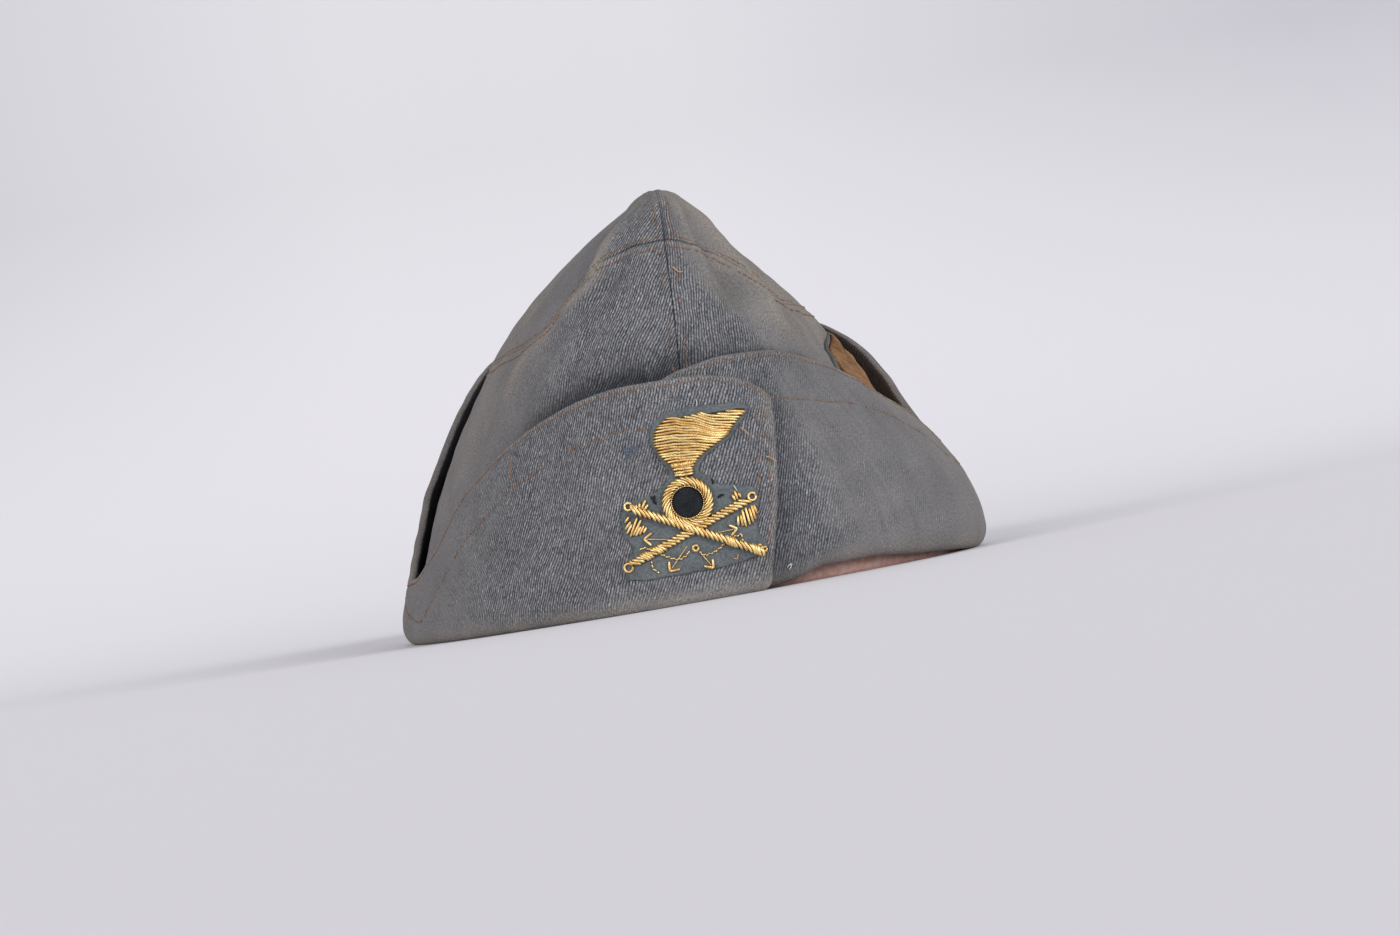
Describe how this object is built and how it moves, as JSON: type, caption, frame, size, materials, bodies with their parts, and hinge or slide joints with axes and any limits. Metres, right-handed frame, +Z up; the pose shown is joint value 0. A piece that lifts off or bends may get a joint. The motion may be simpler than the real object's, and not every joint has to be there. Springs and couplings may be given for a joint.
{
  "type": "garrison cap",
  "caption": "Soft twilled wool garrison cap with a high folded crown, a turn-up that laps at the front, a leather sweatband and an embroidered gold badge.",
  "frame": {"origin": "middle of the cap's length and width, on the surface that its rim stands on", "axes": "+Z up through the crown, -Y to the front, +X to the wearer's left"},
  "size_m": [0.1858, 0.2228, 0.1245],
  "materials": {
    "wool_cloth": "grey-blue twilled wool, worn smooth and brownish on the edges",
    "wool_cloth_under": "the same wool, softer and browner on the turn-up's under end",
    "leather": "worn reddish-brown sweatband leather",
    "cotton": "tan cotton",
    "felt": "dark grey-blue felt",
    "bullion": "gold bullion wire, a little tarnished",
    "black_cloth": "black fulled cloth"
  },
  "bodies": {
    "root": {"crown_left": "wool_cloth", "crown_right": "wool_cloth", "top_left": "wool_cloth", "top_right": "wool_cloth", "turn_up_left": "wool_cloth_under", "turn_up_right": "wool_cloth", "sweatband": "leather", "lining_patch": "cotton", "badge_backing": "felt", "badge_flame": "bullion", "badge_ring": "bullion", "badge_disc": "black_cloth", "badge_barrels": "bullion"}
  },
  "joints": []
}
